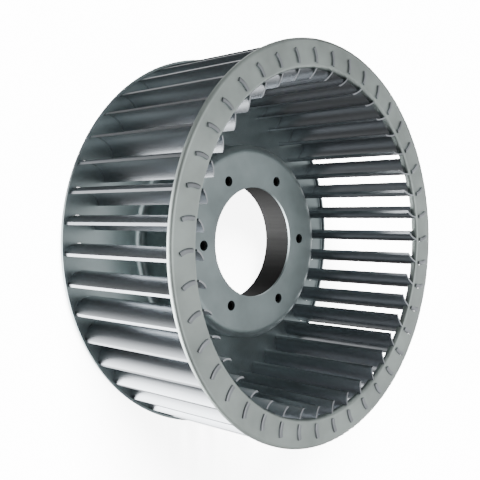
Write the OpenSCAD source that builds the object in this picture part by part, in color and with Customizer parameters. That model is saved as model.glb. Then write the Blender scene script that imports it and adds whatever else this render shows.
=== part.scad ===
/* [Wheel] */
// Outside diameter of the wheel
wheel_d = 250; // [236:1:300]
// Width from the rear face of the back plate to the front face of the inlet ring
wheel_w = 100; // [70:1:160]

/* [Inlet ring] */
// Sheet thickness of the inlet ring
ring_t = 1; // [0.8:0.1:1.4]
// Radial width of the ring face
ring_width = 18; // [17:0.5:20]
// Depth of the flange turned back along the outer edge
flange_depth = 3; // [3:0.5:8]
// Depth of the lip turned back along the inner edge
lip_depth = 4; // [3:0.5:8]
// Inside radius of the bends along the sheet edges
bend_r = 1; // [0.5:0.1:1.5]

/* [Back plate] */
// Sheet thickness of the back plate and its drawn hub
plate_t = 1.5; // [1.2:0.1:1.8]
// Depth of the flange turned forward along the rim
rim_depth = 3.5; // [3.5:0.5:8]

/* [Hub] */
// Outside diameter of the drawn hub
hub_d = 130; // [126:1:160]
// Height of the hub face above the rear face of the plate
hub_h = 41; // [34:1:60]
// Outside radius of the rounded shoulder round the hub face
shoulder_r = 6; // [3:0.5:7.5]
// Radius of the fillet at the foot of the hub wall
foot_r = 5; // [2:0.5:8]
// Bore in the hub face
bore_d = 73; // [50:1:78]
// Diameter of the bolt circle
bolt_circle_d = 93; // [90:1:98]
// Number of bolt holes
bolt_count = 6; // [3:1:8]
// Bolt hole for an M6 screw
bolt_hole_d = 6.6; // [5.5:0.1:9]

/* [Hub ring] */
// Outside diameter of the turned ring behind the hub face
hub_ring_d = 110; // [106:1:112]
// Bore of the hub ring
hub_ring_bore_d = 80; // [79:0.5:82]
// Length of the hub ring along the axis
hub_ring_w = 25; // [12:1:30]
// Chamfer along the rear edges of the hub ring
hub_ring_chamfer = 1; // [0.5:0.1:1.5]
// Core of the tapped M6 holes in the hub ring
tapped_core_d = 5; // [4.2:0.1:5.2]

/* [Blades] */
// Number of blades
blade_count = 42; // [28:1:48]
// Sheet thickness of a blade
blade_t = 1; // [0.8:0.1:1.4]
// Radius of the blade arc, at the middle of its sheet
blade_arc_r = 14; // [13.5:0.5:20]
// Angle round the wheel from the inner to the outer end of a blade
blade_sweep = -0.5; // [-2:0.5:3]
// Distance that the blades reach inwards past the ring
blade_reach = 6.5; // [4:0.5:8.5]
// Drop of the front edge from the ring face to the inner corner
front_drop = 2; // [0.5:0.5:4]
// Angle of the first blade past the first bolt hole
blade_start = 1.5; // [0:0.5:8]

/* [Staked tabs] */
// Length of a tab along the blade
tab_len = 9.5; // [8:0.5:10.5]
// Distance from the inner edge of the ring to the middle of a tab
tab_inset = 7.8; // [7:0.1:8.5]
// Width of the flap that is folded down
tab_flap = 1.5; // [1.2:0.1:3]

/* [Clearances] */
// Play between a tab and its slot
slot_play = 0.15; // [0.1:0.05:0.3]
// Play between a blade and the flanges, and round the inner lip
edge_play = 0.2; // [0.1:0.05:0.5]

/* [Hidden] */

// Faces of the curved pieces
$fn = 96;
// How far a cutting body runs past what it cuts
past = 1;

wheel_r = wheel_d / 2;
hub_r = hub_d / 2;
ring_inner_r = wheel_r - ring_width;

// The folded tabs stand one blade sheet below the plate and above the ring
plate_rear = blade_t;
plate_front = plate_rear + plate_t;
ring_front = plate_rear + wheel_w;
ring_rear = ring_front - ring_t;
hub_top = plate_rear + hub_h;
hub_underside = hub_top - plate_t;

blade_inner_r = ring_inner_r - blade_reach;
blade_outer_r = wheel_r - max(ring_t, plate_t) - edge_play;
blade_pitch = 360 / blade_count;

// Centre of the blade arc, where x is radial and y runs with the rotation
blade_tip = blade_outer_r * [cos(blade_sweep), sin(blade_sweep)];
blade_chord = blade_tip - [blade_inner_r, 0];
half_chord = norm(blade_chord) / 2;
arc_rise = sqrt(blade_arc_r * blade_arc_r - half_chord * half_chord);
arc_centre = blade_tip - blade_chord / 2
    + arc_rise / (2 * half_chord) * [-blade_chord.y, blade_chord.x];
arc_distance = norm(arc_centre);
arc_turn = atan2(arc_centre.y, arc_centre.x);
arc_outer_r = blade_arc_r + blade_t / 2;
arc_inner_r = blade_arc_r - blade_t / 2;
tab_middle = arc_point(ring_inner_r + tab_inset);

// Point of the blade arc that lies at radius r from the wheel axis
function arc_point(r) =
    let (aside = acos((r * r + arc_distance * arc_distance - blade_arc_r * blade_arc_r)
        / (2 * r * arc_distance)))
    r * [cos(arc_turn - aside), sin(arc_turn - aside)];

// Name of a blade with two digits
function blade_name(i) = str("blade_", i < 10 ? "0" : "", i);

// Angle of a blade round the wheel
function blade_angle(i) = blade_start + (i - 1) * blade_pitch;

// Section of a sheet bend: a quarter ring, its corner pointing right and up
module bend_section(t) {
    intersection() {
        difference() {
            circle(r = bend_r + t);
            circle(r = bend_r);
        }
        square(bend_r + t);
    }
}

// Section of a flange bent down from a face at height 0, its outside at x = 0
module flange_section(t, depth) {
    translate([-bend_r - t, -bend_r - t])
        bend_section(t);
    translate([-t, -depth])
        square([t, depth - bend_r - t]);
}

// Arc shaped wall of sheet, standing on the blade arc
module arc_wall(outer_r, inner_r, z, height) {
    translate([arc_centre.x, arc_centre.y, z])
        difference() {
            cylinder(r = outer_r, h = height);
            translate([0, 0, -past])
                cylinder(r = inner_r, h = height + 2 * past);
        }
}

// Round limit that gives a tab or a slot its length and its rounded ends
module tab_limit(play, z, height) {
    translate([tab_middle.x, tab_middle.y, z])
        cylinder(r = tab_len / 2 + play, h = height);
}

// Curved slots for the blade tabs in a sheet of thickness t
module tab_slots(z, t) {
    for (i = [1:blade_count])
        rotate(blade_angle(i))
            intersection() {
                arc_wall(arc_outer_r + slot_play, arc_inner_r - slot_play, z - past, t + 2 * past);
                tab_limit(slot_play, z - past, t + 2 * past);
            }
}

// Cutting cylinders on the bolt circle, through a layer of thickness t
module bolt_cutters(d, z, t) {
    for (i = [0:bolt_count - 1])
        rotate(i * 360 / bolt_count)
            translate([bolt_circle_d / 2, 0, z - past])
                cylinder(d = d, h = t + 2 * past);
}

// Section of the inlet ring: a shallow channel, open to the rear
module ring_section() {
    flat_start = ring_inner_r + ring_t + bend_r;
    flat_end = wheel_r - ring_t - bend_r;
    translate([flat_start, ring_rear])
        square([flat_end - flat_start, ring_t]);
    translate([wheel_r, ring_front])
        flange_section(ring_t, flange_depth);
    translate([ring_inner_r, ring_front])
        mirror([1, 0])
            flange_section(ring_t, lip_depth);
}

// Inlet ring with its turned edges and the slots of the blades
module front_ring() {
    color([0.62, 0.66, 0.65])
        difference() {
            rotate_extrude()
                ring_section();
            tab_slots(ring_rear, ring_t);
        }
}

// Quarter ring from angle 0 to 90, turned by a quarter as often as needed
module quarter_ring(outer_r, inner_r, quarters) {
    rotate(quarters * 90)
        intersection() {
            difference() {
                circle(r = outer_r);
                circle(r = inner_r);
            }
            square(outer_r);
        }
}

// Section of the back plate: rim, flat, hub wall and hub face in one sheet
module plate_section() {
    flat_start = hub_r + foot_r;
    flat_end = wheel_r - plate_t - bend_r;
    wall_start = plate_front + foot_r;
    wall_end = hub_top - shoulder_r;
    translate([flat_start, plate_rear])
        square([flat_end - flat_start, plate_t]);
    translate([wheel_r, plate_rear])
        mirror([0, 1])
            flange_section(plate_t, rim_depth);
    translate([flat_start, wall_start])
        quarter_ring(foot_r + plate_t, foot_r, 2);
    translate([hub_r - plate_t, wall_start])
        square([plate_t, wall_end - wall_start]);
    translate([hub_r - shoulder_r, wall_end])
        quarter_ring(shoulder_r, shoulder_r - plate_t, 0);
    translate([bore_d / 2, hub_underside])
        square([hub_r - shoulder_r - bore_d / 2, plate_t]);
}

// Back plate with its deep drawn hub, bore, bolt holes and blade slots
module back_plate() {
    color([0.52, 0.56, 0.57])
        difference() {
            rotate_extrude()
                plate_section();
            bolt_cutters(bolt_hole_d, hub_underside, plate_t);
            tab_slots(plate_rear, plate_t);
        }
}

// Turned steel ring against the rear of the hub face, tapped behind each bolt hole
module hub_ring() {
    bore_r = hub_ring_bore_d / 2;
    outer_r = hub_ring_d / 2;
    rear = hub_underside - hub_ring_w;
    color([0.30, 0.30, 0.31])
        difference() {
            rotate_extrude()
                polygon([
                    [bore_r, rear + hub_ring_chamfer],
                    [bore_r + hub_ring_chamfer, rear],
                    [outer_r - hub_ring_chamfer, rear],
                    [outer_r, rear + hub_ring_chamfer],
                    [outer_r, hub_underside],
                    [bore_r, hub_underside]
                ]);
            bolt_cutters(tapped_core_d, rear, hub_ring_w);
        }
}

// Side outline of a blade: radius across, height up, notched over the ring lip
module blade_outline() {
    notch_start = ring_inner_r - edge_play;
    notch_end = ring_inner_r + ring_t + bend_r;
    notch_floor = ring_front - lip_depth - edge_play;
    polygon([
        [blade_inner_r, plate_front],
        [blade_outer_r - bend_r, plate_front],
        [blade_outer_r, plate_front + bend_r],
        [blade_outer_r, ring_rear - bend_r],
        [blade_outer_r - bend_r, ring_rear],
        [notch_end, ring_rear],
        [notch_end, notch_floor],
        [notch_start, notch_floor],
        [notch_start, ring_front],
        [blade_inner_r, ring_front - front_drop]
    ]);
}

// Section of a tab round the arc centre: stem, fold and flap on a face at height 0
module tab_section(stem) {
    translate([arc_inner_r, -stem])
        square([blade_t, stem]);
    translate([arc_inner_r, 0])
        intersection() {
            circle(r = blade_t);
            square(blade_t);
        }
    translate([arc_inner_r - tab_flap, 0])
        square([tab_flap, blade_t]);
}

// Tab that passes a sheet of thickness t and is folded down on its face
module tab(t) {
    intersection() {
        translate([arc_centre.x, arc_centre.y, 0])
            rotate_extrude()
                tab_section(t);
        tab_limit(0, -t - past, t + blade_t + 2 * past);
    }
}

// One blade at angle 0: curved sheet, front tab and rear tab
module blade_shape() {
    intersection() {
        arc_wall(arc_outer_r, arc_inner_r, plate_front, wheel_w);
        rotate_extrude()
            blade_outline();
        rotate(arc_turn)
            translate([0, -wheel_d, 0])
                cube([wheel_d, wheel_d, plate_front + 2 * wheel_w]);
    }
    translate([0, 0, ring_front])
        tab(ring_t);
    translate([0, 0, plate_rear])
        mirror([0, 0, 1])
            tab(plate_t);
}

// Blade with its number round the wheel
module blade(i) {
    color([0.78, 0.80, 0.82])
        rotate(blade_angle(i))
            blade_shape();
}

front_ring();
back_plate();
hub_ring();
for (i = [1:blade_count])
    blade(i);
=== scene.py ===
"""Finishes for a sheet steel blower wheel, with its stage, light and camera."""

import math

import bmesh
import bpy
from bpy.props import FloatProperty, FloatVectorProperty, PointerProperty
from mathutils import Matrix, Vector


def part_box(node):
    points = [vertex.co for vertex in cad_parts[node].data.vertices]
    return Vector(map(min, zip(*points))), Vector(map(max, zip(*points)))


bl_info = {
    "name": "Blower Wheel Finish",
    "version": (1, 0, 0),
    "blender": (4, 5, 0),
    "location": "View3D > Sidebar > Blower Wheel",
    "description": "Dresses a staked sheet steel blower wheel and its stage",
    "category": "Object",
}

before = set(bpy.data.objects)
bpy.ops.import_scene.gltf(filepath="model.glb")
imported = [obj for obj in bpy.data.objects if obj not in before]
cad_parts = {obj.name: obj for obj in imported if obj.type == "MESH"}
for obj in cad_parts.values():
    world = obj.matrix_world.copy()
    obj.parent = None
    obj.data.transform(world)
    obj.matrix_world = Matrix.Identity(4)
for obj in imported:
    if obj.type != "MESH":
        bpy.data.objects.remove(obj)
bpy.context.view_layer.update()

BLADES = sorted(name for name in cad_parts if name.startswith("blade_"))
RING_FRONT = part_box("front_ring")[1].z

# Zinc coat of the sheet: its cloudy tones, how much duller it gets, and its broad waves.
# The middle of the clouds spans the tones, and their whole span the dullness.
ZINC_METALLIC = 0.92
ZINC_TONES = (0.78, 1.18)
ZINC_DULLER_BY = 0.07
CLOUD_MIDDLE = (0.3, 0.7)
CLOUD_SPAN = (0.2, 0.8)
WAVE_STRENGTH = 0.25
WAVE_HEIGHT = 0.0003
RING_CLOUDS = 30.0
PLATE_CLOUDS = 24.0
BLADE_CLOUDS = 60.0
BLADE_STRETCH = 0.06

# Bare steel of the hub ring: fine round it and long along its axis.
STEEL_METALLIC = 0.8
STEEL_TONES = (0.8, 1.2)
STREAK_SCALE = (260.0, 260.0, 12.0)

# Stage paint, backdrop and camera sensor, and the soft light that falls on the floor alone.
PAINT_ROUGHNESS = 0.8
DOME_SIDES = 48
SENSOR_WIDTH = 36
FLOOR_LIGHT_AZIMUTH = 110
FLOOR_LIGHT_ELEVATION = 40
FLOOR_LIGHT_SPREAD = math.radians(35)

# Soft lights round the wheel: azimuth and elevation in degrees, and strength.
# Azimuth runs round the wheel's axis and elevation rises towards the inlet side.
SOFT_LIGHTS = (
    (210, -45, 13.0),
    (180, -45, 2.0),
    (240, -45, 4.0),
    (0, 90, 2.2),
    (195, 0, 1.0),
    (110, 0, 0.5),
    (60, 0, 0.4),
    (285, 0, 0.6),
    (345, 0, 2.0),
    (35, -45, 1.5),
    (75, 45, 0.7),
    (285, 45, 1.0),
    (0, 45, 0.6),
)


class WheelFinish(bpy.types.PropertyGroup):
    """Colour and roughness of each kind of piece"""

    ring_color: FloatVectorProperty(
        name="Ring colour", description="Zinc colour of the inlet ring", subtype="COLOR",
        size=3, min=0, max=1, default=(0.47, 0.53, 0.51))
    plate_color: FloatVectorProperty(
        name="Plate colour", description="Zinc colour of the back plate and hub", subtype="COLOR",
        size=3, min=0, max=1, default=(0.36, 0.43, 0.44))
    blade_color: FloatVectorProperty(
        name="Blade colour", description="Zinc colour of the blades", subtype="COLOR",
        size=3, min=0, max=1, default=(0.39, 0.415, 0.44))
    # Near-black colour of the ring behind the hub face, far darker than bare steel
    hub_ring_color: FloatVectorProperty(
        name="Hub ring colour", description="Bare steel of the ring behind the hub face", subtype="COLOR",
        size=3, min=0, max=1, default=(0.018, 0.018, 0.018))
    ring_roughness: FloatProperty(
        name="Ring roughness", description="How dull the ring is where it is smoothest",
        min=0, max=1, default=0.39, subtype="FACTOR")
    plate_roughness: FloatProperty(
        name="Plate roughness", description="How dull the plate is where it is smoothest",
        min=0, max=1, default=0.28, subtype="FACTOR")
    blade_roughness: FloatProperty(
        name="Blade roughness", description="How dull the blades are where they are smoothest",
        min=0, max=1, default=0.28, subtype="FACTOR")
    hub_ring_roughness: FloatProperty(
        name="Hub ring roughness", description="How dull the turned hub ring is",
        min=0, max=1, default=0.6, subtype="FACTOR")


class WheelStage(bpy.types.PropertyGroup):
    """Floor, light and camera"""

    floor_color: FloatVectorProperty(
        name="Floor colour", description="Colour of the pale floor", subtype="COLOR",
        size=3, min=0, max=1, default=(0.92, 0.92, 0.92))
    floor_glow: FloatProperty(
        name="Floor glow", description="Light that the white floor gives off by itself", min=0, default=7.0)
    floor_sun: FloatProperty(
        name="Floor sun", description="Strength of the soft light that falls on the floor alone",
        min=0, default=38.0)
    backdrop_glow: FloatProperty(
        name="Backdrop glow", description="Light that the white backdrop gives off by itself",
        min=0, default=14.0)
    stage_reach: FloatProperty(
        name="Stage reach", description="How far the floor and backdrop lie from the wheel",
        unit="LENGTH", default=8.0)
    light_focus: FloatProperty(
        name="Light focus", description="How quickly each soft light fades away from its middle",
        min=1, default=10.0)
    room_light: FloatProperty(
        name="Room light", description="Strength of the even light all round", min=0, default=0.01)
    axis_turn: FloatProperty(
        name="Axis turn", description="Angle between the wheel axis and the view line",
        subtype="ANGLE", unit="ROTATION", default=math.radians(46.02))
    axis_dip: FloatProperty(
        name="Axis dip", description="Angle by which the wheel axis dips in the picture",
        subtype="ANGLE", unit="ROTATION", default=math.radians(1.68))
    wheel_spin: FloatProperty(
        name="Wheel spin", description="Turn of the wheel round its own axis as the camera sees it",
        subtype="ANGLE", unit="ROTATION", default=math.radians(2.82))
    focal_length: FloatProperty(
        name="Focal length", description="Focal length on a sensor 36 mm wide, in millimetres",
        default=57.92)
    camera_right: FloatProperty(
        name="Ring right of view line", description="How far the ring centre lies right of the view line",
        unit="LENGTH", default=0.05214)
    camera_down: FloatProperty(
        name="Ring below view line", description="How far the ring centre lies below the view line",
        unit="LENGTH", default=0.00252)
    camera_away: FloatProperty(
        name="Ring distance", description="Distance from the camera to the ring centre along the view line",
        unit="LENGTH", default=0.47541)


def node_of(tree, kind, **inputs):
    """New shader node with its plain input values set by name."""
    made = tree.nodes.new(kind)
    for name, value in inputs.items():
        made.inputs[name.replace("_", " ")].default_value = value
    return made


def empty_material(name):
    """Material with no shader nodes yet."""
    material = bpy.data.materials.new(name)
    material.use_nodes = True
    material.node_tree.nodes.clear()
    return material


def pattern(tree, scale, **settings):
    """Noise on the piece's own coordinates, scaled along each axis."""
    place = tree.nodes.new("ShaderNodeTexCoord")
    scaled = node_of(tree, "ShaderNodeMapping", Scale=scale)
    tree.links.new(place.outputs["Object"], scaled.inputs["Vector"])
    noise = node_of(tree, "ShaderNodeTexNoise", **settings)
    tree.links.new(scaled.outputs["Vector"], noise.inputs["Vector"])
    return noise.outputs["Fac"]


def ranged(tree, source, source_range, result_range):
    """Values of source, carried from one range to another."""
    made = node_of(tree, "ShaderNodeMapRange", From_Min=source_range[0], From_Max=source_range[1],
                   To_Min=result_range[0], To_Max=result_range[1])
    tree.links.new(source, made.inputs["Value"])
    return made.outputs["Result"]


def metal(tree, color, tone, metallic):
    """Metal shader on the material's surface, its colour made lighter and darker by tone."""
    base = tree.nodes.new("ShaderNodeVectorMath")
    base.operation = "SCALE"
    base.inputs[0].default_value = color
    tree.links.new(tone, base.inputs["Scale"])
    shader = node_of(tree, "ShaderNodeBsdfPrincipled", Metallic=metallic)
    tree.links.new(base.outputs["Vector"], shader.inputs["Base Color"])
    output = tree.nodes.new("ShaderNodeOutputMaterial")
    tree.links.new(shader.outputs["BSDF"], output.inputs["Surface"])
    return shader


def galvanised(name, color, roughness, cloud_scale, stretch):
    """Zinc coated sheet with soft clouds, drawn out along the axis by stretch, and slight waves."""
    material = empty_material(name)
    tree = material.node_tree
    drawn_out = (1.0, 1.0, stretch)
    clouds = pattern(tree, drawn_out, Scale=cloud_scale, Detail=4.0, Roughness=0.55)
    waves = pattern(tree, drawn_out, Scale=cloud_scale * 2, Detail=1.0, Roughness=0.5)
    shader = metal(tree, color, ranged(tree, clouds, CLOUD_MIDDLE, ZINC_TONES), ZINC_METALLIC)
    dull = ranged(tree, clouds, CLOUD_SPAN, (roughness, roughness + ZINC_DULLER_BY))
    tree.links.new(dull, shader.inputs["Roughness"])
    bump = node_of(tree, "ShaderNodeBump", Strength=WAVE_STRENGTH, Distance=WAVE_HEIGHT)
    tree.links.new(waves, bump.inputs["Height"])
    tree.links.new(bump.outputs["Normal"], shader.inputs["Normal"])
    return material


def turned(name, color, roughness):
    """Bare turned steel with streaks along the axis from storage and handling."""
    material = empty_material(name)
    tree = material.node_tree
    streaks = pattern(tree, STREAK_SCALE, Scale=1.0, Detail=3.0, Roughness=0.6)
    shader = metal(tree, color, ranged(tree, streaks, CLOUD_MIDDLE, STEEL_TONES), STEEL_METALLIC)
    shader.inputs["Roughness"].default_value = roughness
    return material


def dress(node_name, material):
    """Gives a CAD node its finish."""
    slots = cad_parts[node_name].data.materials
    slots.clear()
    slots.append(material)


def view_axes(stage):
    """Matrix whose columns are the picture's right, down and forward directions in the wheel's frame."""
    axis = Vector((math.sin(stage.axis_turn) * math.cos(stage.axis_dip),
                   math.sin(stage.axis_turn) * math.sin(stage.axis_dip),
                   -math.cos(stage.axis_turn)))
    up = Vector((0, -1, 0))
    top = (up - axis * up.dot(axis)).normalized()
    side = axis.cross(top)
    return Matrix.Rotation(-stage.wheel_spin, 3, "Z") @ Matrix((-side, top, axis))


def direction(azimuth, elevation):
    """Unit vector from the wheel towards an azimuth and elevation in degrees."""
    turn = math.radians(azimuth)
    rise = math.radians(elevation)
    return Vector((math.cos(turn) * math.cos(rise), math.sin(turn) * math.cos(rise), math.sin(rise)))


def math_node(tree, operation, first, second):
    """Math node that joins a socket with a second socket or a plain number."""
    made = tree.nodes.new("ShaderNodeMath")
    made.operation = operation
    tree.links.new(first, made.inputs[0])
    if isinstance(second, float):
        made.inputs[1].default_value = second
    else:
        tree.links.new(second, made.inputs[1])
    return made.outputs["Value"]


def soft_room(stage):
    """Dim room with wide soft lights, each brightest in one direction and fading away from it."""
    world = bpy.data.worlds.new("studio")
    world.use_nodes = True
    tree = world.node_tree
    place = tree.nodes.new("ShaderNodeTexCoord")
    even = tree.nodes.new("ShaderNodeValue")
    even.outputs["Value"].default_value = stage.room_light
    total = even.outputs["Value"]
    for azimuth, elevation, strength in SOFT_LIGHTS:
        facing = tree.nodes.new("ShaderNodeVectorMath")
        facing.operation = "DOT_PRODUCT"
        facing.inputs[1].default_value = direction(azimuth, elevation)
        tree.links.new(place.outputs["Generated"], facing.inputs[0])
        front = math_node(tree, "MAXIMUM", facing.outputs["Value"], 0.0)
        fade = math_node(tree, "POWER", front, stage.light_focus)
        glow = math_node(tree, "MULTIPLY", fade, strength)
        total = math_node(tree, "ADD", glow, total)
    background = tree.nodes["Background"]
    background.inputs["Color"].default_value = (1, 1, 1, 1)
    tree.links.new(total, background.inputs["Strength"])
    return world


def stage_paint(name, color, glow):
    """White paint that glows, so that the floor and backdrop stay pale in the dim room."""
    paint = bpy.data.materials.new(name)
    paint.use_nodes = True
    shader = paint.node_tree.nodes["Principled BSDF"]
    shader.inputs["Base Color"].default_value = (*color, 1)
    shader.inputs["Roughness"].default_value = PAINT_ROUGHNESS
    shader.inputs["Emission Color"].default_value = (1, 1, 1, 1)
    shader.inputs["Emission Strength"].default_value = glow
    return paint


def stage_piece(name, sheet, paint):
    """Stage piece that the camera sees, but that the sheet metal neither mirrors nor is shaded by."""
    mesh = bpy.data.meshes.new(name)
    sheet.to_mesh(mesh)
    sheet.free()
    mesh.materials.append(paint)
    piece = bpy.data.objects.new(name, mesh)
    bpy.context.scene.collection.objects.link(piece)
    piece.visible_glossy = False
    piece.visible_diffuse = False
    piece.visible_shadow = False
    return piece


def floor_light(floor, towards, strength, spread):
    """Soft light for the floor alone, so that the wheel's shadow lies on it."""
    data = bpy.data.lights.new("floor_light", "SUN")
    data.energy = strength
    data.angle = spread
    light = bpy.data.objects.new("floor_light", data)
    bpy.context.scene.collection.objects.link(light)
    light.rotation_mode = "QUATERNION"
    light.rotation_quaternion = towards.to_track_quat("Z", "Y")
    only_floor = bpy.data.collections.new("only_floor")
    only_floor.objects.link(floor)
    light.light_linking.receiver_collection = only_floor


class WHEEL_OT_ring(bpy.types.Operator):
    """Finish the inlet ring in dull grey green zinc"""

    bl_idname = "wheel.ring"
    bl_label = "Inlet Ring"

    def execute(self, context):
        finish = context.scene.wheel_finish
        zinc = galvanised("ring_zinc", finish.ring_color, finish.ring_roughness, RING_CLOUDS, 1.0)
        dress("front_ring", zinc)
        return {"FINISHED"}


class WHEEL_OT_plate(bpy.types.Operator):
    """Finish the back plate and its drawn hub in satin zinc"""

    bl_idname = "wheel.plate"
    bl_label = "Back Plate"

    def execute(self, context):
        finish = context.scene.wheel_finish
        zinc = galvanised("plate_zinc", finish.plate_color, finish.plate_roughness, PLATE_CLOUDS, 1.0)
        dress("back_plate", zinc)
        return {"FINISHED"}


class WHEEL_OT_hub_ring(bpy.types.Operator):
    """Finish the turned ring behind the hub face in near-black steel"""

    bl_idname = "wheel.hub_ring"
    bl_label = "Hub Ring"

    def execute(self, context):
        finish = context.scene.wheel_finish
        dress("hub_ring", turned("turned_steel", finish.hub_ring_color, finish.hub_ring_roughness))
        return {"FINISHED"}


class WHEEL_OT_blades(bpy.types.Operator):
    """Finish the blades in bright satin zinc"""

    bl_idname = "wheel.blades"
    bl_label = "Blades"

    def execute(self, context):
        finish = context.scene.wheel_finish
        zinc = galvanised("blade_zinc", finish.blade_color, finish.blade_roughness,
                          BLADE_CLOUDS, BLADE_STRETCH)
        for name in BLADES:
            dress(name, zinc)
        return {"FINISHED"}


class WHEEL_OT_stage(bpy.types.Operator):
    """Lay the pale floor and set the soft light and the camera"""

    bl_idname = "wheel.stage"
    bl_label = "Stage"

    def execute(self, context):
        stage = context.scene.wheel_stage
        sheet = bmesh.new()
        bmesh.ops.create_grid(sheet, x_segments=1, y_segments=1, size=stage.stage_reach)
        floor = stage_piece("floor", sheet, stage_paint("floor_paint", stage.floor_color, stage.floor_glow))
        dome = bmesh.new()
        bmesh.ops.create_uvsphere(dome, u_segments=DOME_SIDES, v_segments=DOME_SIDES // 2,
                                  radius=stage.stage_reach)
        stage_piece("backdrop", dome, stage_paint("backdrop_paint", stage.floor_color, stage.backdrop_glow))
        towards = direction(FLOOR_LIGHT_AZIMUTH, FLOOR_LIGHT_ELEVATION)
        floor_light(floor, towards, stage.floor_sun, FLOOR_LIGHT_SPREAD)

        axes = view_axes(stage)
        right, down, forward = axes.col
        ring_centre = Vector((0, 0, RING_FRONT))
        data = bpy.data.cameras.new("camera")
        data.sensor_width = SENSOR_WIDTH
        data.lens = stage.focal_length
        camera = bpy.data.objects.new("camera", data)
        context.scene.collection.objects.link(camera)
        place = ring_centre - axes @ Vector((stage.camera_right, stage.camera_down, stage.camera_away))
        turn = Matrix((right, -down, -forward)).transposed().to_4x4()
        camera.matrix_world = Matrix.Translation(place) @ turn
        context.scene.camera = camera

        context.scene.world = soft_room(stage)
        return {"FINISHED"}


class WHEEL_PT_panel(bpy.types.Panel):
    """Blower wheel steps"""

    bl_label = "Blower Wheel"
    bl_idname = "WHEEL_PT_panel"
    bl_space_type = "VIEW_3D"
    bl_region_type = "UI"
    bl_category = "Blower Wheel"

    def draw(self, context):
        layout = self.layout
        for step in STEPS:
            layout.operator(step.bl_idname)
        for group in (context.scene.wheel_finish, context.scene.wheel_stage):
            for name in group.__annotations__:
                layout.prop(group, name)


STEPS = (WHEEL_OT_ring, WHEEL_OT_plate, WHEEL_OT_hub_ring, WHEEL_OT_blades, WHEEL_OT_stage)
CLASSES = (WheelFinish, WheelStage, *STEPS, WHEEL_PT_panel)


def register():
    """Adds the classes and the scene's settings."""
    for cls in CLASSES:
        bpy.utils.register_class(cls)
    bpy.types.Scene.wheel_finish = PointerProperty(type=WheelFinish)
    bpy.types.Scene.wheel_stage = PointerProperty(type=WheelStage)


def unregister():
    """Removes what register added."""
    del bpy.types.Scene.wheel_stage
    del bpy.types.Scene.wheel_finish
    for cls in reversed(CLASSES):
        bpy.utils.unregister_class(cls)


def main():
    """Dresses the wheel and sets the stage."""
    register()
    bpy.ops.wheel.ring()
    bpy.ops.wheel.plate()
    bpy.ops.wheel.hub_ring()
    bpy.ops.wheel.blades()
    bpy.ops.wheel.stage()


if __name__ == "__main__":
    main()
